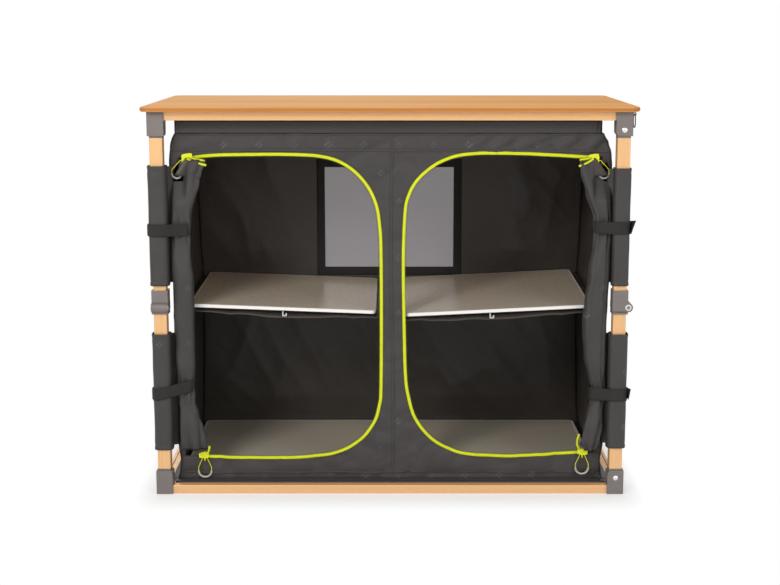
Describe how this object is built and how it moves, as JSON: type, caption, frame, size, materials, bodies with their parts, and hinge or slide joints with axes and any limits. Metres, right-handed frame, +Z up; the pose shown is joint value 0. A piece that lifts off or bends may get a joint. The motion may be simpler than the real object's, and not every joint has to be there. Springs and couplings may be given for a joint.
{
  "type": "camping cupboard",
  "caption": "Folding camping cupboard: knee-jointed tube frame, table top, dark cloth cover with zipped doors rolled to the sides, shelf and floor boards.",
  "frame": {"origin": "on the floor under the middle of the cupboard", "axes": "+X to the cupboard's right seen from the front, -Y out of the doors, +Z up"},
  "size_m": [1, 0.51, 0.804],
  "materials": {
    "anodised_gold": "anodised, satin",
    "grey_moulding": "moulded nylon, fine grain",
    "dark_cloth": "coated woven polyester",
    "webbing": "woven webbing",
    "steel": "plated",
    "wood_top": "bamboo laminate, satin lacquer",
    "laminated_board": "glossy laminate with white edge",
    "mesh": "fine net",
    "pull_grip": "moulded grip on lime cord",
    "lime_zip": "coil zip",
    "hook_plastic": "moulded"
  },
  "bodies": {
    "base": {"base_rails_long": "anodised_gold", "base_rails_short": "anodised_gold", "base_feet": "grey_moulding", "foot_pins": "steel", "cover_front": "dark_cloth", "cover_back": "dark_cloth", "cover_sides": "dark_cloth", "cover_floor": "dark_cloth", "cover_band": "dark_cloth", "window_mesh": "mesh", "floor_boards": "laminated_board", "shelf_sling": "dark_cloth", "door_roll_left": "dark_cloth", "door_roll_right": "dark_cloth", "straps": "webbing", "zips": "lime_zip"},
    "table_frame": {"top_rails_long": "anodised_gold", "top_rails_short": "anodised_gold", "top_corners": "grey_moulding", "top_pins": "steel", "tabletop": "wood_top", "ring_eyelet": "steel"},
    "hanging_ring": {"hanging_ring": "steel"},
    "shelf": {"shelf_board_left": "laminated_board", "shelf_board_right": "laminated_board", "shelf_hooks": "hook_plastic"},
    "upper_zip_sliders": {"zip_sliders_upper": "lime_zip"},
    "zip_pull_lower_left": {"zip_pull_lower_left": "pull_grip"},
    "zip_pull_lower_right": {"zip_pull_lower_right": "pull_grip"},
    "zip_pull_upper_left": {"zip_pull_upper_left": "pull_grip"},
    "zip_pull_upper_right": {"zip_pull_upper_right": "pull_grip"},
    "front_right_lower_leg": {"front_right_lower_tube": "anodised_gold", "front_right_lower_fittings": "grey_moulding", "front_right_lower_sleeve": "dark_cloth", "front_right_knee_rivet": "steel"},
    "front_right_upper_leg": {"front_right_upper_tube": "anodised_gold", "front_right_upper_fittings": "grey_moulding", "front_right_upper_sleeve": "dark_cloth"},
    "back_right_lower_leg": {"back_right_lower_tube": "anodised_gold", "back_right_lower_fittings": "grey_moulding", "back_right_lower_sleeve": "dark_cloth", "back_right_knee_rivet": "steel"},
    "back_right_upper_leg": {"back_right_upper_tube": "anodised_gold", "back_right_upper_fittings": "grey_moulding", "back_right_upper_sleeve": "dark_cloth"},
    "back_left_lower_leg": {"back_left_lower_tube": "anodised_gold", "back_left_lower_fittings": "grey_moulding", "back_left_lower_sleeve": "dark_cloth", "back_left_knee_rivet": "steel"},
    "back_left_upper_leg": {"back_left_upper_tube": "anodised_gold", "back_left_upper_fittings": "grey_moulding", "back_left_upper_sleeve": "dark_cloth"},
    "front_left_lower_leg": {"front_left_lower_tube": "anodised_gold", "front_left_lower_fittings": "grey_moulding", "front_left_lower_sleeve": "dark_cloth", "front_left_knee_rivet": "steel"},
    "front_left_upper_leg": {"front_left_upper_tube": "anodised_gold", "front_left_upper_fittings": "grey_moulding", "front_left_upper_sleeve": "dark_cloth"}
  },
  "joints": [
    {"name": "fold", "type": "hinge", "parent": "base", "child": "front_left_lower_leg", "pos_m": [-0.47, -0.22, 0.0345], "axis": [-1, 0, 0], "range_deg": [0, 90], "deforming": ["cover_front", "cover_back", "cover_sides", "cover_floor", "cover_band", "window_mesh", "shelf_sling", "door_roll_left", "door_roll_right", "straps", "zips", "zip_pull_lower_left", "zip_pull_lower_right", "zip_pull_upper_left", "zip_pull_upper_right"]},
    {"name": "front_right_foot", "type": "hinge", "parent": "base", "child": "front_right_lower_leg", "pos_m": [0.47, -0.22, 0.0345], "axis": [0, -1, 0], "range_deg": [0, 90]},
    {"name": "back_right_foot", "type": "hinge", "parent": "base", "child": "back_right_lower_leg", "pos_m": [0.47, 0.22, 0.0345], "axis": [1, 0, 0], "range_deg": [0, 90]},
    {"name": "back_left_foot", "type": "hinge", "parent": "base", "child": "back_left_lower_leg", "pos_m": [-0.47, 0.22, 0.0345], "axis": [0, 1, 0], "range_deg": [0, 90]},
    {"name": "front_left_knee", "type": "hinge", "parent": "front_left_lower_leg", "child": "front_left_upper_leg", "pos_m": [-0.47, -0.237, 0.39575], "axis": [1, 0, 0], "range_deg": [0, 180]},
    {"name": "front_right_knee", "type": "hinge", "parent": "front_right_lower_leg", "child": "front_right_upper_leg", "pos_m": [0.487, -0.22, 0.39575], "axis": [0, 1, 0], "range_deg": [0, 180]},
    {"name": "back_right_knee", "type": "hinge", "parent": "back_right_lower_leg", "child": "back_right_upper_leg", "pos_m": [0.47, 0.237, 0.39575], "axis": [-1, 0, 0], "range_deg": [0, 180]},
    {"name": "back_left_knee", "type": "hinge", "parent": "back_left_lower_leg", "child": "back_left_upper_leg", "pos_m": [-0.487, 0.22, 0.39575], "axis": [0, -1, 0], "range_deg": [0, 180]},
    {"name": "table_head", "type": "hinge", "parent": "front_left_upper_leg", "child": "table_frame", "pos_m": [-0.47, -0.22, 0.757], "axis": [-1, 0, 0], "range_deg": [0, 90]},
    {"name": "shelf_drop", "type": "slide", "parent": "base", "child": "shelf", "axis": [0, 0, -1], "range_m": [0, 0.318]},
    {"name": "zip_slider_drop", "type": "slide", "parent": "base", "child": "upper_zip_sliders", "axis": [0, 0, -1], "range_m": [0, 0.612]},
    {"name": "zip_pull_lower_left_swing", "type": "hinge", "parent": "base", "child": "zip_pull_lower_left", "pos_m": [-0.389, -0.2018, 0.0685], "axis": [-1, 0, 0], "range_deg": [0, 120]},
    {"name": "zip_pull_lower_right_swing", "type": "hinge", "parent": "base", "child": "zip_pull_lower_right", "pos_m": [0.404, -0.2018, 0.0755], "axis": [-1, 0, 0], "range_deg": [0, 120]},
    {"name": "zip_pull_upper_left_swing", "type": "hinge", "parent": "upper_zip_sliders", "child": "zip_pull_upper_left", "pos_m": [-0.4215, -0.2018, 0.6935], "axis": [-1, 0, 0], "range_deg": [0, 120]},
    {"name": "zip_pull_upper_right_swing", "type": "hinge", "parent": "upper_zip_sliders", "child": "zip_pull_upper_right", "pos_m": [0.4235, -0.2018, 0.6935], "axis": [-1, 0, 0], "range_deg": [0, 120]},
    {"name": "ring_swing", "type": "hinge", "parent": "table_frame", "child": "hanging_ring", "pos_m": [0.4913, -0.22, 0.7888], "axis": [0, -1, 0], "range_deg": [0, 85]}
  ],
  "couplings": [
    {"joint": "front_right_foot", "follows": "fold", "ratio": 1},
    {"joint": "back_right_foot", "follows": "fold", "ratio": 1},
    {"joint": "back_left_foot", "follows": "fold", "ratio": 1},
    {"joint": "front_left_knee", "follows": "fold", "ratio": 2},
    {"joint": "front_right_knee", "follows": "fold", "ratio": 2},
    {"joint": "back_right_knee", "follows": "fold", "ratio": 2},
    {"joint": "back_left_knee", "follows": "fold", "ratio": 2},
    {"joint": "table_head", "follows": "fold", "ratio": 1},
    {"joint": "shelf_drop", "follows": "fold", "m_per_rad": 0.2024},
    {"joint": "zip_slider_drop", "follows": "fold", "m_per_rad": 0.3895}
  ]
}
